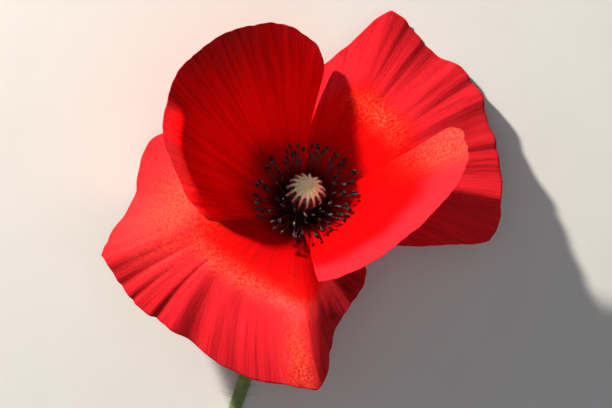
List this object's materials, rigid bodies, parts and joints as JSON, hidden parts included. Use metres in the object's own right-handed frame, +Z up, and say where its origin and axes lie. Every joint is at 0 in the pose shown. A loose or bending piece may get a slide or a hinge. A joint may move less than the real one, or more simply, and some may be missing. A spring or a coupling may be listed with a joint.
{
  "type": "poppy flower",
  "caption": "Open red field poppy as picked: cupped and spreading petals around a ribbed seed capsule and dark stamens, lying on its cut stem.",
  "frame": {"origin": "centre of the bounding box at the surface the flower lies on", "axes": "+Z up from the surface, -Y along the cut stem away from the flower head, +X across the flower"},
  "size_m": [0.0726, 0.1542, 0.0405],
  "materials": {
    "petal": "thin silky crepe petal, scarlet, dark veins",
    "stamen": "near-black purple filaments and dusty anthers",
    "capsule": "cream stigma rays over a dark maroon ovary",
    "stem": "matt pale green, thinly bristled"
  },
  "bodies": {
    "root": {"stem": "stem", "seed_capsule": "capsule", "inner_petal_left": "petal", "inner_petal_right": "petal", "outer_petal_back": "petal", "outer_petal_front": "petal", "stamen_01": "stamen", "stamen_02": "stamen", "stamen_03": "stamen", "stamen_04": "stamen", "stamen_05": "stamen", "stamen_06": "stamen", "stamen_07": "stamen", "stamen_08": "stamen", "stamen_09": "stamen", "stamen_10": "stamen", "stamen_11": "stamen", "stamen_12": "stamen", "stamen_13": "stamen", "stamen_14": "stamen", "stamen_15": "stamen", "stamen_16": "stamen", "stamen_17": "stamen", "stamen_18": "stamen", "stamen_19": "stamen", "stamen_20": "stamen", "stamen_21": "stamen", "stamen_22": "stamen", "stamen_23": "stamen", "stamen_24": "stamen", "stamen_25": "stamen", "stamen_26": "stamen", "stamen_27": "stamen", "stamen_28": "stamen", "stamen_29": "stamen", "stamen_30": "stamen", "stamen_31": "stamen", "stamen_32": "stamen", "stamen_33": "stamen", "stamen_34": "stamen", "stamen_35": "stamen", "stamen_36": "stamen", "stamen_37": "stamen", "stamen_38": "stamen", "stamen_39": "stamen", "stamen_40": "stamen", "stamen_41": "stamen", "stamen_42": "stamen", "stamen_43": "stamen", "stamen_44": "stamen", "stamen_45": "stamen", "stamen_46": "stamen", "stamen_47": "stamen", "stamen_48": "stamen", "stamen_49": "stamen", "stamen_50": "stamen", "stamen_51": "stamen", "stamen_52": "stamen", "stamen_53": "stamen", "stamen_54": "stamen"}
  },
  "joints": []
}
